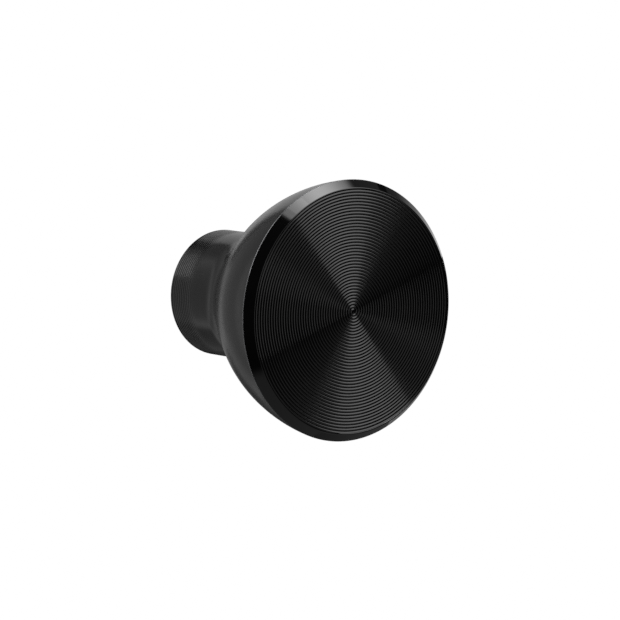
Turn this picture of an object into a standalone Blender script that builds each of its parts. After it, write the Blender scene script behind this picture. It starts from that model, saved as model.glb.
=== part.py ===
"""Cabinet knob, turned from one piece of aluminium, with the screw and washer that hold it to a door.

Frame: +Z up, the knob's axis along Y. The origin is the centre of the foot's flat mounting face,
the knob points towards -Y and the screw enters from +Y. Each turned piece is modelled on its own
local Z axis, and the empty "knob_axis" lays that axis down, so local +Z runs out of the face.
"""

import math

import bmesh
import bpy
from mathutils import Matrix

MM = 0.001
OBJECT_NAME = "cabinet_knob"

# Knob body, from the mounting face (local z = 0) to the front face (local z = LENGTH).
RIM_DIAMETER = 38.0 * MM
LENGTH = 32.0 * MM
FOOT_DIAMETER = 18.9 * MM
CHAMFER_WIDTH = 1.15 * MM
CHAMFER_DEPTH = 1.3 * MM
FOOT_EDGE = 0.2 * MM

# The flare is an arc that starts just behind the rim and runs into a cone, and a concave fillet
# joins the cone to the foot. The slopes are measured from the axis.
FLARE_ARC_RADIUS = 29.6 * MM
SLOPE_AT_RIM = math.radians(7.4)
SLOPE_OF_CONE = math.radians(35.4)
NECK_FILLET_RADIUS = 8.6 * MM

# M4 x 0.7 fixing. A thread is drawn plain: the screw at its pitch diameter, the hole at its root.
THREAD_PITCH_DIAMETER = 3.54 * MM
HOLE_DIAMETER = 4.14 * MM
HOLE_DEPTH = 24.4 * MM
DRILL_POINT_ANGLE = math.radians(118)
HOLE_MOUTH_CHAMFER = 0.5 * MM

# A shallow relief round the hole, so that only the outer ring of the foot bears on the door.
RELIEF_DIAMETER = 10.4 * MM
RELIEF_DEPTH = 0.3 * MM

SCREW_LENGTH = 25.0 * MM
SCREW_TIP_CHAMFER = 0.5 * MM
HEAD_DIAMETER = 8.0 * MM
HEAD_SIDE_HEIGHT = 1.3 * MM
HEAD_CROWN_HEIGHT = 1.8 * MM

# Cross recess, size 2.
RECESS_SPAN = 4.4 * MM
RECESS_SPAN_AT_FLOOR = 2.2 * MM
RECESS_WING = 0.95 * MM
RECESS_DEPTH = 2.2 * MM

WASHER_OUTER_DIAMETER = 9.0 * MM
WASHER_HOLE_DIAMETER = 4.3 * MM
WASHER_THICKNESS = 0.8 * MM
WASHER_EDGE = 0.12 * MM

GAP = 0.3 * MM

BODY_SIDES = 96
SCREW_SIDES = 48
WASHER_SIDES = 64
ARC_STEP = math.radians(4)
CROWN_STEPS = 6
MERGE_DISTANCE = 0.00001
SMOOTH_ANGLE = math.radians(25)


def clear_scene():
    for obj in list(bpy.data.objects):
        bpy.data.objects.remove(obj, do_unlink=True)


def new_collection(name):
    collection = bpy.data.collections.new(name)
    bpy.context.scene.collection.children.link(collection)
    return collection


def metal(name, colour, roughness):
    """A metal finish, as a Principled BSDF."""
    material = bpy.data.materials.new(name)
    material.use_nodes = True
    shader = material.node_tree.nodes["Principled BSDF"]
    shader.inputs["Base Color"].default_value = (*colour, 1.0)
    shader.inputs["Roughness"].default_value = roughness
    shader.inputs["Metallic"].default_value = 1.0
    return material


def arc_angles(start, end):
    """Evenly spaced angles from start to end, both included."""
    steps = math.ceil(abs(end - start) / ARC_STEP)
    return [start + (end - start) * i / steps for i in range(steps + 1)]


def turned(name, profile, sides, material, collection, ring=False):
    """A solid of revolution about local Z.

    The profile is a list of (radius, height) that runs down the outer side, and up any bore.
    A ring's profile joins its last point to its first.
    """
    mesh = bpy.data.meshes.new(name)
    points = [(radius, 0.0, height) for radius, height in profile]
    edges = [(i, i + 1) for i in range(len(points) - 1)]
    if ring:
        edges.append((len(points) - 1, 0))
    mesh.from_pydata(points, edges, [])
    mesh.materials.append(material)
    obj = bpy.data.objects.new(name, mesh)
    collection.objects.link(obj)
    screw = obj.modifiers.new("Turn", "SCREW")
    screw.axis = "Z"
    screw.angle = 2 * math.pi
    screw.steps = sides
    screw.render_steps = sides
    screw.use_merge_vertices = True
    screw.merge_threshold = MERGE_DISTANCE
    screw.use_smooth_shade = True
    return obj


def flare_profile():
    """The outside from the rim to the neck: arc, cone and fillet."""
    rim = RIM_DIAMETER / 2
    foot = FOOT_DIAMETER / 2
    rim_height = LENGTH - CHAMFER_DEPTH
    arc = []
    for slope in arc_angles(SLOPE_AT_RIM, SLOPE_OF_CONE):
        radius = rim - FLARE_ARC_RADIUS * (math.cos(SLOPE_AT_RIM) - math.cos(slope))
        height = rim_height - FLARE_ARC_RADIUS * (math.sin(slope) - math.sin(SLOPE_AT_RIM))
        arc.append((radius, height))
    cone_radius, cone_height = arc[-1]
    fillet_start = foot + NECK_FILLET_RADIUS * (1 - math.cos(SLOPE_OF_CONE))
    cone_drop = (cone_radius - fillet_start) / math.tan(SLOPE_OF_CONE)
    fillet_end = cone_height - cone_drop - NECK_FILLET_RADIUS * math.sin(SLOPE_OF_CONE)
    fillet = []
    for slope in arc_angles(SLOPE_OF_CONE, 0.0):
        radius = foot + NECK_FILLET_RADIUS * (1 - math.cos(slope))
        fillet.append((radius, fillet_end + NECK_FILLET_RADIUS * math.sin(slope)))
    return arc + fillet


def knob_body(material, collection):
    """The knob itself: face, chamfer, flare, neck, foot, mounting ring, relief and blind hole."""
    rim = RIM_DIAMETER / 2
    foot = FOOT_DIAMETER / 2
    relief = RELIEF_DIAMETER / 2
    hole = HOLE_DIAMETER / 2
    drill_point = hole / math.tan(DRILL_POINT_ANGLE / 2)
    front = [(0.0, LENGTH), (rim - CHAMFER_WIDTH, LENGTH)]
    back = [
        (foot, FOOT_EDGE),
        (foot - FOOT_EDGE, 0.0),
        (relief, 0.0),
        (relief, RELIEF_DEPTH),
        (hole + HOLE_MOUTH_CHAMFER, RELIEF_DEPTH),
        (hole, RELIEF_DEPTH + HOLE_MOUTH_CHAMFER),
        (hole, HOLE_DEPTH),
        (0.0, HOLE_DEPTH + drill_point),
    ]
    return turned("knob_body", front + flare_profile() + back, BODY_SIDES, material, collection)


def recess_blade(name, turn, collection):
    """One of the two crossed blades that cut the cross recess, wider at the head's top."""
    mesh = bpy.data.meshes.new(name)
    blade = bmesh.new()
    bmesh.ops.create_cube(blade, size=1.0)
    depth = RECESS_DEPTH + GAP
    taper = (RECESS_SPAN - RECESS_SPAN_AT_FLOOR) / RECESS_DEPTH
    for vertex in blade.verts:
        at_floor = vertex.co.z > 0
        span = RECESS_SPAN_AT_FLOOR if at_floor else RECESS_SPAN + taper * GAP
        vertex.co.x *= span
        vertex.co.y *= RECESS_WING
        vertex.co.z = depth if at_floor else 0.0
    bmesh.ops.rotate(blade, verts=blade.verts, matrix=Matrix.Rotation(turn, 3, "Z"))
    blade.to_mesh(mesh)
    blade.free()
    cutter = bpy.data.objects.new(name, mesh)
    collection.objects.link(cutter)
    cutter.hide_render = True
    cutter.display_type = "WIRE"
    return cutter


def mounting_screw(material, collection, cutters):
    """Pan head machine screw. Local z = 0 is the seat under its head, and its tip is at the top."""
    shank = THREAD_PITCH_DIAMETER / 2
    head = HEAD_DIAMETER / 2
    profile = [
        (0.0, SCREW_LENGTH),
        (shank - SCREW_TIP_CHAMFER, SCREW_LENGTH),
        (shank, SCREW_LENGTH - SCREW_TIP_CHAMFER),
        (shank, 0.0),
        (head, 0.0),
    ]
    for step in range(CROWN_STEPS):
        angle = math.pi / 2 * step / CROWN_STEPS
        on_crown = -HEAD_SIDE_HEIGHT - HEAD_CROWN_HEIGHT * math.sin(angle)
        profile.append((head * math.cos(angle), on_crown))
    crown = -HEAD_SIDE_HEIGHT - HEAD_CROWN_HEIGHT
    profile.append((0.0, crown))
    screw = turned("mounting_screw", profile, SCREW_SIDES, material, collection)
    for name, turn in (("recess_blade_1", 0.0), ("recess_blade_2", math.pi / 2)):
        cutter = recess_blade(name, turn, cutters)
        cutter.parent = screw
        cutter.location.z = crown - GAP
        cut = screw.modifiers.new(name, "BOOLEAN")
        cut.operation = "DIFFERENCE"
        cut.solver = "EXACT"
        cut.object = cutter
    return screw


def screw_washer(material, collection):
    """Plain washer, with its local z = 0 at the side that the screw's head presses on."""
    outer = WASHER_OUTER_DIAMETER / 2
    hole = WASHER_HOLE_DIAMETER / 2
    top = WASHER_THICKNESS
    profile = [
        (hole, top),
        (outer - WASHER_EDGE, top),
        (outer, top - WASHER_EDGE),
        (outer, WASHER_EDGE),
        (outer - WASHER_EDGE, 0.0),
        (hole, 0.0),
    ]
    return turned("screw_washer", profile, WASHER_SIDES, material, collection, ring=True)


def crisp_corners(obj):
    """Keeps the smooth shading to the round surfaces, with a crisp line at each turned corner."""
    split = obj.modifiers.new("Crisp corners", "EDGE_SPLIT")
    split.split_angle = SMOOTH_ANGLE
    split.use_edge_sharp = False


def main():
    clear_scene()
    parts = new_collection(OBJECT_NAME)
    cutters = new_collection("cutters")
    cutters.hide_render = True

    black = metal("black_anodised_aluminium", (0.012, 0.012, 0.013), 0.32)
    zinc = metal("zinc_plated_steel", (0.56, 0.57, 0.58), 0.3)

    knob_axis = bpy.data.objects.new("knob_axis", None)
    knob_axis.rotation_euler.x = math.pi / 2
    parts.objects.link(knob_axis)

    body = knob_body(black, parts)
    washer = screw_washer(zinc, parts)
    screw = mounting_screw(zinc, parts, cutters)

    body.parent = knob_axis
    washer.parent = knob_axis
    washer.location.z = -GAP - WASHER_THICKNESS
    screw.parent = washer
    screw.location.z = -GAP
    for obj in (body, washer, screw):
        crisp_corners(obj)


main()
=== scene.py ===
"""Looks of the black cabinet knob: the turned body with its wound grooves, the screw and its washer.

The knob's axis lies along Y, its grooved face looks towards -Y and the screw enters from +Y.
Turned pieces are described by (radius, height) rows, where height is measured along -Y.
"""

import math

import bmesh
import bpy
import numpy as np
from mathutils import Matrix, Vector


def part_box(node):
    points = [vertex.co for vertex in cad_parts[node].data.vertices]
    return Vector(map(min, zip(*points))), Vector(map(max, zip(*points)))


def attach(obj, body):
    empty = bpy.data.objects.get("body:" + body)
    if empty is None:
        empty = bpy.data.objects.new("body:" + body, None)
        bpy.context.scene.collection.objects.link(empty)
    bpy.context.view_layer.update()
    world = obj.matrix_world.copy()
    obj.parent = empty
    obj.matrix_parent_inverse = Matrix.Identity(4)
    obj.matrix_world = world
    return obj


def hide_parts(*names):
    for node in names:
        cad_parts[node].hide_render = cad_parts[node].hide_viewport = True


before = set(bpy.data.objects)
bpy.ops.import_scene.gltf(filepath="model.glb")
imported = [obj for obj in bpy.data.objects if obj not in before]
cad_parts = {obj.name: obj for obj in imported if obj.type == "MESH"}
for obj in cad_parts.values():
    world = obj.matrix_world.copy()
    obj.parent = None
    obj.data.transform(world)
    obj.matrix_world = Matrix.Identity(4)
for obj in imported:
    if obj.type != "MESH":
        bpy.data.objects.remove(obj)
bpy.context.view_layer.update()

MM = 0.001
BODY_LOW, BODY_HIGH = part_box("knob_body")
WASHER_LOW, WASHER_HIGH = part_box("screw_washer")
SCREW_LOW, SCREW_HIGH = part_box("mounting_screw")

# Knob body, the same outline as the CAD.
RIM_RADIUS = BODY_HIGH.x
LENGTH = BODY_HIGH.y - BODY_LOW.y
FOOT_RADIUS = 9.45 * MM
CHAMFER_WIDTH = 1.15 * MM
CHAMFER_DEPTH = 1.3 * MM
FLARE_ARC_RADIUS = 29.6 * MM
SLOPE_AT_RIM = math.radians(7.4)
SLOPE_OF_CONE = math.radians(35.4)
NECK_FILLET_RADIUS = 8.6 * MM
RELIEF_RADIUS = 5.2 * MM
RELIEF_DEPTH = 0.3 * MM
HOLE_RADIUS = 2.07 * MM
HOLE_MOUTH_CHAMFER = 0.5 * MM
HOLE_DEPTH = 24.4 * MM
DRILL_POINT_HEIGHT = 1.24 * MM

# Fine surface, which the CAD leaves out.
GROOVE_PITCH = 0.45 * MM
GROOVE_DEPTH = 0.1 * MM
GROOVE_START = 0.35
GROOVE_ROWS = 7
GROOVE_RUN_OUT = 0.1 * GROOVE_PITCH
FOOT_GROOVE_DEPTH = 0.042 * MM
FOOT_GROOVES_TOP = 6.2 * MM
FOOT_RUN_IN = 2.8 * MM
FOOT_GROOVES_BOTTOM = 0.3 * MM
EDGE_ROUNDING = 0.18 * MM
FACE_MARGIN = 0.2 * EDGE_ROUNDING
RIM_ROUNDING = 0.13 * MM
FOOT_ROUNDING = 0.2 * MM
ARC_STEP = math.radians(1.6)
CORNER_STEPS = 4
BODY_SIDES = 180
SHARP_ANGLE = math.radians(40)
MERGE_DISTANCE = 0.0008 * MM

# M4 x 0.7 screw.
THREAD_PITCH = 0.7 * MM
THREAD_DEPTH = 0.6134 * THREAD_PITCH
THREAD_RADIUS = 1.95 * MM
THREAD_FLANK = math.radians(30)
THREAD_CREST = 1 / 8
THREAD_START = 0.9 * MM
HEAD_RADIUS = SCREW_HIGH.x
HEAD_SIDE_HEIGHT = 1.3 * MM
HEAD_CROWN_HEIGHT = 1.8 * MM
HEAD_HEIGHT = HEAD_SIDE_HEIGHT + HEAD_CROWN_HEIGHT
HEAD_SEAT = SCREW_HIGH.y - HEAD_HEIGHT
SCREW_LENGTH = HEAD_SEAT - SCREW_LOW.y
SCREW_TIP_RADIUS = 1.4 * MM
SCREW_NECK_ROUNDING = 0.2 * MM
HEAD_EDGE_ROUNDING = 0.12 * MM
CROWN_STEPS = 24
SCREW_SIDES = 72

# Its cross recess.
RECESS_HALF_SPAN = 2.2 * MM
RECESS_HALF_SPAN_AT_FLOOR = 1.1 * MM
RECESS_WING = 0.95 * MM
RECESS_WING_AT_FLOOR = 0.7 * MM
RECESS_WING_DEPTH = 1.8 * MM
RECESS_DEPTH = 2.2 * MM
CUTTER_RISE = 0.4 * MM
RECESS_SHARP_ANGLE = math.radians(30)

WASHER_HOLE_RADIUS = 2.15 * MM
WASHER_ROLLED_EDGE = 0.22 * MM
WASHER_SHEARED_EDGE = 0.05 * MM
WASHER_SIDES = 144

# Colours. The dyed oxide and the zinc vary between two of them.
DYED_BLACK = (0.0016, 0.0016, 0.0018)
DYED_BLACK_WARM = (0.0030, 0.0029, 0.0029)
# At the edges the black is mixed with bare metal: partly edge wear, partly a painted highlight that
# stands in for the bright line along the rim.
DYED_BLACK_AT_EDGES = (0.0022, 0.0022, 0.0023)
BARE_METAL_AND_HIGHLIGHT = (0.78, 0.79, 0.81)
ZINC_BLUISH = (0.50, 0.53, 0.57)
ZINC_YELLOWISH = (0.62, 0.60, 0.55)
OXIDE_IOR = 1.6
ZINC_GRAIN = 0.0012 * MM

# The usual range of a noise texture.
NOISE_LOW, NOISE_HIGH = 0.3, 0.7

# Camera, placed from the centre of the knob's face.
CAMERA_AZIMUTH = -38.01
CAMERA_ELEVATION = 6.68
CAMERA_DISTANCE = 516.8 * MM
CAMERA_SIDESTEP = -6.28 * MM
CAMERA_RISE = 0.23 * MM
LENS_MM = 208.5
SENSOR_MM = 36.0

# Studio.
SOFTBOX_DISTANCE = 0.8
AMBIENT = 0.01
FLOOR_HALF_WIDTH = 4.0
FLOOR_Z = -0.12


# ---------------------------------------------------------------- profiles


def arc_points(centre, radius, start, end):
    """Points on an arc round centre, from angle start to angle end, both included."""
    count = max(2, math.ceil(abs(end - start) / ARC_STEP))
    angles = np.linspace(start, end, count + 1)
    return np.array(centre) + radius * np.stack([np.cos(angles), np.sin(angles)], 1)


def rounded_corner(before, corner, after, radius):
    """The corner of a profile, replaced by an arc that meets both of its sides."""
    before, corner, after = (np.array(point, float) for point in (before, corner, after))
    to_before = (before - corner) / np.linalg.norm(before - corner)
    to_after = (after - corner) / np.linalg.norm(after - corner)
    half = math.acos(np.clip(to_before @ to_after, -1, 1)) / 2
    reach = radius / math.tan(half)
    middle = to_before + to_after
    centre = corner + middle / np.linalg.norm(middle) * radius / math.sin(half)
    start = corner + to_before * reach - centre
    end = corner + to_after * reach - centre
    first = math.atan2(start[1], start[0])
    sweep = (math.atan2(end[1], end[0]) - first + math.pi) % (2 * math.pi) - math.pi
    angles = first + sweep * np.linspace(0, 1, CORNER_STEPS + 1)
    return centre + radius * np.stack([np.cos(angles), np.sin(angles)], 1)


def between(start, end, shares):
    """Points on the straight line from start to end, at these shares of it."""
    start, end = np.array(start, float), np.array(end, float)
    return start + (end - start) * np.array(shares)[:, None]


def wound_rows(length, pitch, phases, turn):
    """Rows of a winding that moves one pitch along for each turn.

    Gives each row's place, kept between 0 and length, and its phase within the pitch. The winding
    starts and ends outside the length, so that it reaches both ends of it at every turn.
    """
    whole_pitches = np.arange(-2, math.ceil(length / pitch) + 1)
    whole = np.repeat(whole_pitches, len(phases))
    phase = np.tile(phases, len(whole_pitches))
    return np.clip(pitch * (whole + phase + turn), 0, length), phase


def ease(x):
    """0 below 0, 1 above 1, and smooth between."""
    x = np.clip(x, 0, 1)
    return x * x * (3 - 2 * x)


def groove_rows(length, depth, run_in, turn):
    """Place and depth of each row of the decorative groove: a round-nosed tool's scallop.

    The groove comes up to its depth over the length run_in.
    """
    phases = np.arange(GROOVE_ROWS) / GROOVE_ROWS
    place, phase = wound_rows(length, GROOVE_PITCH, phases, GROOVE_START + turn)
    fade = ease(place / run_in) * ease((length - place) / GROOVE_RUN_OUT)
    return place, depth * (1 - (2 * phase - 1) ** 2) * fade


# Zones of the knob's surface, in the order of its materials.
GROOVED, POLISHED, EDGE, SATIN, MACHINED = range(5)


def assemble(sections):
    """Joins sections of (rows, zone) into one profile, with a zone for each strip of faces."""
    rows = np.concatenate([np.array(points, float) for points, zone in sections])
    zones = np.concatenate([np.full(len(points), zone) for points, zone in sections])
    return rows, zones[:-1]


def knob_profile(turn):
    """From the centre of the face over the rim, flare and foot to the bottom of the hole."""
    chamfer_top = (RIM_RADIUS - CHAMFER_WIDTH, LENGTH)
    rim = (RIM_RADIUS, LENGTH - CHAMFER_DEPTH)
    arc_centre = (
        rim[0] - FLARE_ARC_RADIUS * math.cos(SLOPE_AT_RIM),
        rim[1] + FLARE_ARC_RADIUS * math.sin(SLOPE_AT_RIM),
    )
    arc = arc_points(arc_centre, FLARE_ARC_RADIUS, -SLOPE_AT_RIM, -SLOPE_OF_CONE)
    fillet_start = FOOT_RADIUS + NECK_FILLET_RADIUS * (1 - math.cos(SLOPE_OF_CONE))
    cone_drop = (arc[-1][0] - fillet_start) / math.tan(SLOPE_OF_CONE)
    neck_top = arc[-1][1] - cone_drop - NECK_FILLET_RADIUS * math.sin(SLOPE_OF_CONE)
    fillet_centre = (FOOT_RADIUS + NECK_FILLET_RADIUS, neck_top)
    fillet = arc_points(fillet_centre, NECK_FILLET_RADIUS, math.pi - SLOPE_OF_CONE, math.pi)

    front_edge = rounded_corner((0, LENGTH), chamfer_top, rim, EDGE_ROUNDING)
    rim_edge = rounded_corner(chamfer_top, rim, arc[1], RIM_ROUNDING)
    foot_edge = rounded_corner((FOOT_RADIUS, LENGTH), (FOOT_RADIUS, 0), (0, 0), FOOT_ROUNDING)

    face_radius = front_edge[0][0] - FACE_MARGIN
    place, depth = groove_rows(face_radius, GROOVE_DEPTH, GROOVE_PITCH, turn)
    face = np.stack([place, LENGTH - depth], 1)
    band = FOOT_GROOVES_TOP - FOOT_GROOVES_BOTTOM
    place, depth = groove_rows(band, FOOT_GROOVE_DEPTH, FOOT_RUN_IN, turn)
    foot = np.stack([FOOT_RADIUS - depth, FOOT_GROOVES_TOP - place], 1)

    mouth = (HOLE_RADIUS + HOLE_MOUTH_CHAMFER, RELIEF_DEPTH)
    back = [
        (RELIEF_RADIUS, 0),
        (RELIEF_RADIUS, RELIEF_DEPTH),
        mouth,
        (HOLE_RADIUS, RELIEF_DEPTH + HOLE_MOUTH_CHAMFER),
        (HOLE_RADIUS, HOLE_DEPTH),
        (0, HOLE_DEPTH + DRILL_POINT_HEIGHT),
    ]
    return assemble(
        [
            (face, GROOVED),
            (front_edge, POLISHED),
            (between(front_edge[-1], rim_edge[0], (0.04, 0.96)), POLISHED),
            (rim_edge, EDGE),
            (between(rim_edge[-1], arc[1], (0.05,)), SATIN),
            (arc[1:], SATIN),
            (fillet, SATIN),
            (between(fillet[-1], (FOOT_RADIUS, FOOT_GROOVES_TOP), (0.9,)), SATIN),
            (foot, SATIN),
            (foot_edge, EDGE),
            (between(foot_edge[-1], back[0], (0.03, 0.97)), MACHINED),
            (back, MACHINED),
        ]
    )


def screw_profile(turn):
    """From the tip's centre along the thread to the top of the head, 0 at the seat."""
    flank = THREAD_DEPTH * math.tan(THREAD_FLANK) / THREAD_PITCH
    phases = np.array([0, THREAD_CREST, THREAD_CREST + flank, 1 - flank])
    high = np.array([1, 1, 0, 0])
    length = SCREW_LENGTH - THREAD_START
    place, phase = wound_rows(length, THREAD_PITCH, phases, turn)
    root = THREAD_RADIUS - THREAD_DEPTH
    height = THREAD_START + place
    ridge = np.tile(high, len(place) // len(high)) * ease(place / THREAD_PITCH)
    radius = np.minimum(root + THREAD_DEPTH * ridge, SCREW_TIP_RADIUS + SCREW_LENGTH - height)
    thread = np.stack([radius, height], 1)[::-1]

    neck = rounded_corner(
        (root, THREAD_START), (root, 0), (HEAD_RADIUS, 0), SCREW_NECK_ROUNDING
    )
    seat_edge = rounded_corner(
        (0, 0), (HEAD_RADIUS, 0), (HEAD_RADIUS, -HEAD_SIDE_HEIGHT), HEAD_EDGE_ROUNDING
    )
    crown_angles = np.linspace(0, math.pi / 2, CROWN_STEPS + 1)
    crown = np.stack(
        [
            HEAD_RADIUS * np.cos(crown_angles),
            -HEAD_SIDE_HEIGHT - HEAD_CROWN_HEIGHT * np.sin(crown_angles),
        ],
        1,
    )
    crown[-1, 0] = 0
    return assemble([([(0, SCREW_LENGTH)], 0), (thread, 0), (neck, 0), (seat_edge, 0), (crown, 0)])


def washer_profile(turn):
    """A ring: rolled over on the side towards the head, sheared on the other."""
    outer = WASHER_HIGH.x
    thickness = WASHER_HIGH.y - WASHER_LOW.y
    inner = WASHER_HOLE_RADIUS
    corners = [
        ((inner, thickness), (outer, thickness), (outer, 0), WASHER_SHEARED_EDGE),
        ((outer, thickness), (outer, 0), (inner, 0), WASHER_ROLLED_EDGE),
        ((outer, 0), (inner, 0), (inner, thickness), WASHER_ROLLED_EDGE),
        ((inner, 0), (inner, thickness), (outer, thickness), WASHER_SHEARED_EDGE),
    ]
    rows = np.concatenate([rounded_corner(*corner) for corner in corners])
    return assemble([(rows, 0), (rows[:1], 0)])


# ---------------------------------------------------------------- meshes


def turned(name, profile_at, sides, zero_height_y, materials):
    """A closed turned piece. profile_at(turn) gives its rows and zones at that share of a turn."""
    turns = np.linspace(0, 1, sides + 1)
    rows = np.array([profile_at(turn)[0] for turn in turns])
    zones = profile_at(0)[1]
    angle = 2 * math.pi * turns[:, None]
    radius, height = rows[:, :, 0], rows[:, :, 1]
    points = np.stack(
        [radius * np.cos(angle), zero_height_y - height, radius * np.sin(angle)], 2
    )
    steps = np.linalg.norm(np.diff(rows[0], axis=0), axis=1)
    along = np.concatenate([[0], np.cumsum(steps)])
    count = len(along)
    index = np.arange((sides + 1) * count).reshape(sides + 1, count)
    quads = np.stack([index[:-1, :-1], index[:-1, 1:], index[1:, 1:], index[1:, :-1]], 2)

    mesh = bpy.data.meshes.new(name)
    mesh.from_pydata(points.reshape(-1, 3).tolist(), [], quads.reshape(-1, 4).tolist())
    for material in materials:
        mesh.materials.append(material)
    mesh.polygons.foreach_set("material_index", np.tile(zones, sides).astype(np.int32))
    along_profile = mesh.attributes.new("along", "FLOAT", "POINT")
    along_profile.data.foreach_set("value", np.tile(along / MM, sides + 1).astype(np.float32))

    shape = bmesh.new()
    shape.from_mesh(mesh)
    bmesh.ops.remove_doubles(shape, verts=shape.verts, dist=MERGE_DISTANCE)
    bmesh.ops.recalc_face_normals(shape, faces=shape.faces)
    shape.to_mesh(mesh)
    shape.free()
    mesh.shade_smooth()
    mesh.set_sharp_from_angle(angle=SHARP_ANGLE)

    piece = bpy.data.objects.new(name, mesh)
    bpy.context.scene.collection.objects.link(piece)
    return piece


def recess_blade(name, turn):
    """One of the two crossed blades of the recess: narrower and shorter towards its pointed floor."""
    top = SCREW_HIGH.y
    outline = (
        (RECESS_HALF_SPAN, RECESS_WING / 2, -CUTTER_RISE),
        (RECESS_HALF_SPAN, RECESS_WING / 2, 0.0),
        (RECESS_HALF_SPAN_AT_FLOOR, RECESS_WING_AT_FLOOR / 2, RECESS_WING_DEPTH),
    )
    blade = bmesh.new()
    loops = []
    for span, wing, depth in outline:
        corners = ((span, wing), (-span, wing), (-span, -wing), (span, -wing))
        loops.append([blade.verts.new((x, top - depth, z)) for x, z in corners])
    point = blade.verts.new((0, top - RECESS_DEPTH, 0))
    blade.faces.new(loops[0])
    for upper, lower in zip(loops[:-1], loops[1:]):
        for i in range(4):
            blade.faces.new((upper[i], upper[i - 1], lower[i - 1], lower[i]))
    for i in range(4):
        blade.faces.new((loops[-1][i], loops[-1][i - 1], point))
    bmesh.ops.recalc_face_normals(blade, faces=blade.faces)
    blade.transform(Matrix.Rotation(turn, 4, "Y"))
    mesh = bpy.data.meshes.new(name)
    blade.to_mesh(mesh)
    blade.free()
    cutter = bpy.data.objects.new(name, mesh)
    bpy.context.scene.collection.objects.link(cutter)
    return cutter


def cut(piece, cutters):
    """Cuts the cutters out of a piece and removes them."""
    for cutter in cutters:
        modifier = piece.modifiers.new(cutter.name, "BOOLEAN")
        modifier.operation = "DIFFERENCE"
        modifier.solver = "EXACT"
        modifier.object = cutter
    depsgraph = bpy.context.evaluated_depsgraph_get()
    mesh = bpy.data.meshes.new_from_object(piece.evaluated_get(depsgraph))
    piece.modifiers.clear()
    piece.data = mesh
    mesh.name = piece.name
    mesh.set_sharp_from_angle(angle=RECESS_SHARP_ANGLE)
    for cutter in cutters:
        bpy.data.objects.remove(cutter)


# ---------------------------------------------------------------- materials


class Nodes:
    """Short calls for a material's node tree."""

    def __init__(self, name):
        self.material = bpy.data.materials.new(name)
        self.material.use_nodes = True
        self.tree = self.material.node_tree
        self.shader = self.tree.nodes["Principled BSDF"]

    def add(self, kind, **values):
        """A node with these settings."""
        node = self.tree.nodes.new("ShaderNode" + kind)
        for name, value in values.items():
            setattr(node, name, value)
        return node

    def link(self, output, socket):
        self.tree.links.new(output, socket)

    def noise(self, scale, detail=3.0, dimensions="3D"):
        """A noise of scale bumps to the metre, or to the millimetre along the profile in 1D."""
        node = self.add("TexNoise", noise_dimensions=dimensions)
        node.inputs["Scale"].default_value = scale
        node.inputs["Detail"].default_value = detail
        if dimensions == "1D":
            along = self.add("Attribute", attribute_name="along")
            self.link(along.outputs["Fac"], node.inputs["W"])
        else:
            place = self.add("TexCoord")
            self.link(place.outputs["Object"], node.inputs["Vector"])
        return node.outputs["Fac"]

    def ranged(self, noise, low, high):
        """A noise, spread from its usual range to low..high."""
        node = self.add("MapRange")
        node.inputs["From Min"].default_value = NOISE_LOW
        node.inputs["From Max"].default_value = NOISE_HIGH
        node.inputs["To Min"].default_value = low
        node.inputs["To Max"].default_value = high
        self.link(noise, node.inputs["Value"])
        return node.outputs["Result"]

    def mixed(self, share, first, second):
        """A colour between first and second."""
        node = self.add("Mix", data_type="RGBA")
        colour_inputs = [socket for socket in node.inputs if socket.type == "RGBA"]
        colour_inputs[0].default_value = (*first, 1.0)
        colour_inputs[1].default_value = (*second, 1.0)
        self.link(share, node.inputs["Factor"])
        return [socket for socket in node.outputs if socket.type == "RGBA"][0]

    def bump(self, height, distance, normal=None):
        """Relief of that many metres, on top of the relief in normal."""
        node = self.add("Bump")
        node.inputs["Distance"].default_value = distance
        node.inputs["Strength"].default_value = 1.0
        self.link(height, node.inputs["Height"])
        if normal is not None:
            self.link(normal, node.inputs["Normal"])
        return node.outputs["Normal"]


def anodised(name, roughness, marks, grain, edge_wear_and_highlight=0.0):
    """Black anodised aluminium: a dyed glassy oxide, with bright metal mixed in at edges, partly wear
    and partly a painted highlight.

    marks and grain are the heights of the turning marks and of the etched grain, and the last
    argument is the share of bright metal, partly edge wear and partly a painted highlight.
    """
    nodes = Nodes(name)
    shader = nodes.shader
    shader.inputs["IOR"].default_value = OXIDE_IOR
    cloud = nodes.ranged(nodes.noise(260.0), 0, 1)
    tone = nodes.mixed(cloud, DYED_BLACK, DYED_BLACK_WARM)
    # Painted highlight: a lighter, partly metallic tone at the edges, partly edge wear and partly
    # standing in for the bright line of the lit rim.
    if edge_wear_and_highlight:
        wear_and_highlight_share = nodes.ranged(nodes.noise(1400.0, 4.0), 0.6 * edge_wear_and_highlight, edge_wear_and_highlight)
        nodes.link(wear_and_highlight_share, shader.inputs["Metallic"])
        tone = nodes.mixed(wear_and_highlight_share, DYED_BLACK_AT_EDGES, BARE_METAL_AND_HIGHLIGHT)
    nodes.link(tone, shader.inputs["Base Color"])
    spread = nodes.ranged(nodes.noise(900.0), roughness * 0.9, roughness * 1.1)
    nodes.link(spread, shader.inputs["Roughness"])
    normal = nodes.bump(nodes.noise(9.0, 2.0, "1D"), marks)
    normal = nodes.bump(nodes.noise(16000.0, 2.0), grain, normal)
    nodes.link(normal, shader.inputs["Normal"])
    return nodes.material


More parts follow.
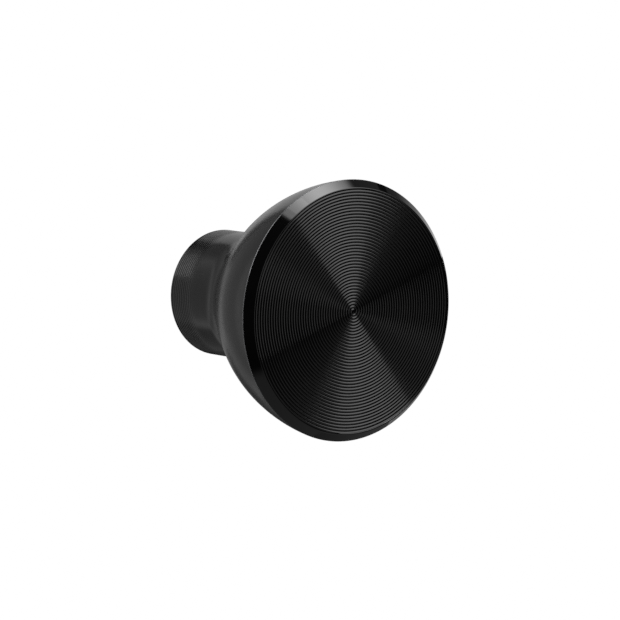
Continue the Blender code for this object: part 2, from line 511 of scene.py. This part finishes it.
def zinc(name, roughness, marks):
    """Bright zinc plate on steel, with a faint bluish and yellowish cast in patches."""
    nodes = Nodes(name)
    shader = nodes.shader
    shader.inputs["Metallic"].default_value = 1.0
    patches = nodes.ranged(nodes.noise(700.0, 4.0), 0, 1)
    tone = nodes.mixed(patches, ZINC_BLUISH, ZINC_YELLOWISH)
    nodes.link(tone, shader.inputs["Base Color"])
    spread = nodes.ranged(nodes.noise(2500.0, 4.0), roughness * 0.75, roughness * 1.3)
    nodes.link(spread, shader.inputs["Roughness"])
    normal = nodes.bump(nodes.noise(14.0, 3.0, "1D"), marks)
    normal = nodes.bump(nodes.noise(9000.0, 3.0), ZINC_GRAIN, normal)
    nodes.link(normal, shader.inputs["Normal"])
    return nodes.material


# ---------------------------------------------------------------- studio


def direction(azimuth, elevation):
    """The unit vector towards that azimuth, 0 along -Y and 90 along +X, and elevation."""
    a, e = math.radians(azimuth), math.radians(elevation)
    return Vector((math.sin(a) * math.cos(e), -math.cos(a) * math.cos(e), math.sin(e)))


def facing(back):
    """A rotation that looks against back, with +Z up."""
    return back.to_track_quat("Z", "Y").to_euler()


def fade_across(lamp, right, centre, falloff):
    """Makes a lamp's radiance change from its left edge to its right edge, as falloff says."""
    lamp.use_nodes = True
    tree = lamp.node_tree
    place = tree.nodes.new("ShaderNodeNewGeometry")
    across = tree.nodes.new("ShaderNodeVectorMath")
    across.operation = "DOT_PRODUCT"
    across.inputs[1].default_value = right
    share = tree.nodes.new("ShaderNodeMapRange")
    share.inputs["From Min"].default_value = centre - lamp.size / 2
    share.inputs["From Max"].default_value = centre + lamp.size / 2
    ramp = tree.nodes.new("ShaderNodeValToRGB")
    ramp.color_ramp.interpolation = "EASE"
    stops = ramp.color_ramp.elements
    while len(stops) < len(falloff):
        stops.new(1.0)
    for stop, (at, level) in zip(stops, falloff):
        stop.position = at
        stop.color = (level, level, level, 1.0)
    tree.links.new(place.outputs["Position"], across.inputs[0])
    tree.links.new(across.outputs["Value"], share.inputs["Value"])
    tree.links.new(share.outputs["Result"], ramp.inputs["Fac"])
    tree.links.new(ramp.outputs["Color"], tree.nodes["Emission"].inputs["Color"])


def softbox(
    name,
    azimuth,
    elevation,
    size,
    radiance,
    shift=(0, 0),
    falloff=None,
    distance=SOFTBOX_DISTANCE,
):
    """A rectangular light that faces the knob, slid sideways and upwards by shift.

    size and shift are shares of its distance. falloff is a list of (place, share of the radiance)
    from its left edge, 0, to its right edge, 1. Boxes that overlap stand at different distances,
    because where two lights share a plane only one of them is seen.
    """
    back = direction(azimuth, elevation)
    right = Vector((0, 0, 1)).cross(back).normalized()
    up = back.cross(right)
    lamp = bpy.data.lights.new(name, "AREA")
    lamp.shape = "RECTANGLE"
    lamp.size = size[0] * distance
    lamp.size_y = size[1] * distance
    lamp.energy = radiance * math.pi * lamp.size * lamp.size_y
    if falloff:
        fade_across(lamp, right, shift[0] * distance, falloff)
    light = bpy.data.objects.new(name, lamp)
    light.location = (back + right * shift[0] + up * shift[1]) * distance
    light.rotation_euler = facing(back)
    light.visible_camera = False
    bpy.context.scene.collection.objects.link(light)


def backdrop(name, half_width, z):
    """A pale floor that only the camera sees, and only from above, so it hides nothing from below."""
    mesh = bpy.data.meshes.new(name)
    shape = bmesh.new()
    bmesh.ops.create_grid(shape, x_segments=1, y_segments=1, size=half_width)
    shape.to_mesh(mesh)
    shape.free()
    material = bpy.data.materials.new(name)
    material.use_nodes = True
    tree = material.node_tree
    tree.nodes.clear()
    output = tree.nodes.new("ShaderNodeOutputMaterial")
    pale = tree.nodes.new("ShaderNodeEmission")
    clear = tree.nodes.new("ShaderNodeBsdfTransparent")
    side = tree.nodes.new("ShaderNodeNewGeometry")
    mix = tree.nodes.new("ShaderNodeMixShader")
    tree.links.new(side.outputs["Backfacing"], mix.inputs["Fac"])
    tree.links.new(pale.outputs["Emission"], mix.inputs[1])
    tree.links.new(clear.outputs["BSDF"], mix.inputs[2])
    tree.links.new(mix.outputs["Shader"], output.inputs["Surface"])
    mesh.materials.append(material)
    floor = bpy.data.objects.new(name, mesh)
    floor.location.z = z
    floor.visible_glossy = False
    floor.visible_diffuse = False
    floor.visible_shadow = False
    bpy.context.scene.collection.objects.link(floor)


def studio_world(ambient):
    """White behind the knob, and a dim grey room in its reflections."""
    world = bpy.data.worlds.new("studio")
    world.use_nodes = True
    tree = world.node_tree
    tree.nodes.clear()
    output = tree.nodes.new("ShaderNodeOutputWorld")
    path = tree.nodes.new("ShaderNodeLightPath")
    room = tree.nodes.new("ShaderNodeBackground")
    white = tree.nodes.new("ShaderNodeBackground")
    mix = tree.nodes.new("ShaderNodeMixShader")
    room.inputs["Color"].default_value = (ambient, ambient, ambient, 1.0)
    white.inputs["Color"].default_value = (1.0, 1.0, 1.0, 1.0)
    tree.links.new(path.outputs["Is Camera Ray"], mix.inputs["Fac"])
    tree.links.new(room.outputs["Background"], mix.inputs[1])
    tree.links.new(white.outputs["Background"], mix.inputs[2])
    tree.links.new(mix.outputs["Shader"], output.inputs["Surface"])
    bpy.context.scene.world = world


def camera():
    back = direction(CAMERA_AZIMUTH, CAMERA_ELEVATION)
    right = Vector((0, 0, 1)).cross(back).normalized()
    up = back.cross(right)
    face_centre = Vector((0, -LENGTH, 0))
    data = bpy.data.cameras.new("camera")
    data.lens = LENS_MM
    data.sensor_width = SENSOR_MM
    data.clip_start = 0.01
    data.clip_end = 100.0
    view = bpy.data.objects.new("camera", data)
    view.location = (
        face_centre + back * CAMERA_DISTANCE + right * CAMERA_SIDESTEP + up * CAMERA_RISE
    )
    view.rotation_euler = facing(back)
    bpy.context.scene.collection.objects.link(view)
    bpy.context.scene.camera = view


# ---------------------------------------------------------------- the scene


def knob_body():
    """The turned knob, with its materials in the order of the zones."""
    finishes = [
        anodised("anodised_grooved", 0.12, 0.0006 * MM, 0.0002 * MM),
        anodised("anodised_polished", 0.06, 0.0002 * MM, 0.0001 * MM),
        # Rim and foot edges: a lighter tone that is partly wear and partly a painted highlight.
        anodised("anodised_edge", 0.2, 0.0002 * MM, 0.0003 * MM, edge_wear_and_highlight=0.35),
        anodised("anodised_satin", 0.22, 0.0008 * MM, 0.0006 * MM),
        anodised("anodised_machined", 0.22, 0.0030 * MM, 0.0006 * MM),
    ]
    knob = turned("knob_body_turned", knob_profile, BODY_SIDES, 0.0, finishes)
    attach(knob, "knob")
    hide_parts("knob_body")


def mounting_screw():
    """The pan head screw, with a real thread and its cross recess cut out."""
    finish = zinc("zinc_screw", 0.24, 0.0012 * MM)
    screw = turned("mounting_screw_threaded", screw_profile, SCREW_SIDES, HEAD_SEAT, [finish])
    blades = [recess_blade("recess_blade_1", 0.0), recess_blade("recess_blade_2", math.pi / 2)]
    cut(screw, blades)
    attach(screw, "screw")
    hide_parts("mounting_screw")


def screw_washer():
    """The stamped washer under the screw's head."""
    finish = zinc("zinc_washer", 0.33, 0.0025 * MM)
    washer = turned(
        "screw_washer_stamped", washer_profile, WASHER_SIDES, WASHER_HIGH.y, [finish]
    )
    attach(washer, "washer")
    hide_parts("screw_washer")


def lights():
    """A large overhead box, side panels that edge the chamfer, and dim boxes behind and below."""
    across_overhead = [
        (0, 0.1),
        (0.05, 0.5),
        (0.22, 0.72),
        (0.35, 0.76),
        (0.58, 0.58),
        (0.68, 0.04),
        (1, 0.04),
    ]
    across_centre = [(0, 0.2), (0.45, 1.0), (1, 0)]
    across_panel = [(0, 0), (0.2, 0.1), (0.34, 0.42), (0.5, 0.8), (0.65, 1), (1, 0.8)]
    across_front_low = [(0, 0), (0.13, 1), (1, 1)]

    softbox("overhead", 37, 58, (1.6, 1.5), 2.55, (0.3, -0.3), across_overhead)
    softbox("overhead_left", 37, 58, (0.34, 0.2), 1.0, (-0.3, 0.33), distance=0.7)
    softbox("overhead_centre", 37, 58, (0.9, 0.4), 4.2, (0.1, 0.25), across_centre, 0.75)
    softbox("right_panel", 119, 14, (0.7, 0.6), 0.82, (0, 0), across_panel)
    softbox("right_below", 127, -18, (0.3, 0.38), 0.27, distance=0.85)
    softbox("right_back", 146, 25, (0.58, 0.8), 0.58, distance=0.75)
    softbox("right_low", 105, -50, (1.0, 0.8), 0.11)
    softbox("left_high", -105, 45, (0.9, 0.8), 2.0)
    softbox("left_back", -140, 5, (0.9, 1.7), 0.28)
    softbox("behind", -174, -5, (0.66, 1.5), 0.2, (0, 0.25), distance=0.85)
    softbox("behind_right", 152, -5, (0.7, 0.33), 0.26, distance=0.9)
    softbox("behind_low", 158, -24, (0.8, 0.35), 0.05, distance=0.95)
    softbox("low_back", -175, -42, (0.9, 0.5), 0.12)
    softbox("camera_side", -35, 3, (0.36, 1.2), 0.55)
    softbox("front_fill", -8, 25, (0.7, 0.7), 0.3, distance=0.75)
    softbox("front_low", 0, -50, (1.8, 1.2), 0.17, (0, -0.25), across_front_low)


camera()
knob_body()
mounting_screw()
screw_washer()
lights()
studio_world(AMBIENT)
backdrop("floor", FLOOR_HALF_WIDTH, FLOOR_Z)
bpy.context.scene.view_settings.view_transform = "Standard"
# The denoiser would wipe out the fine grooves.
bpy.context.scene.cycles.use_denoising = False
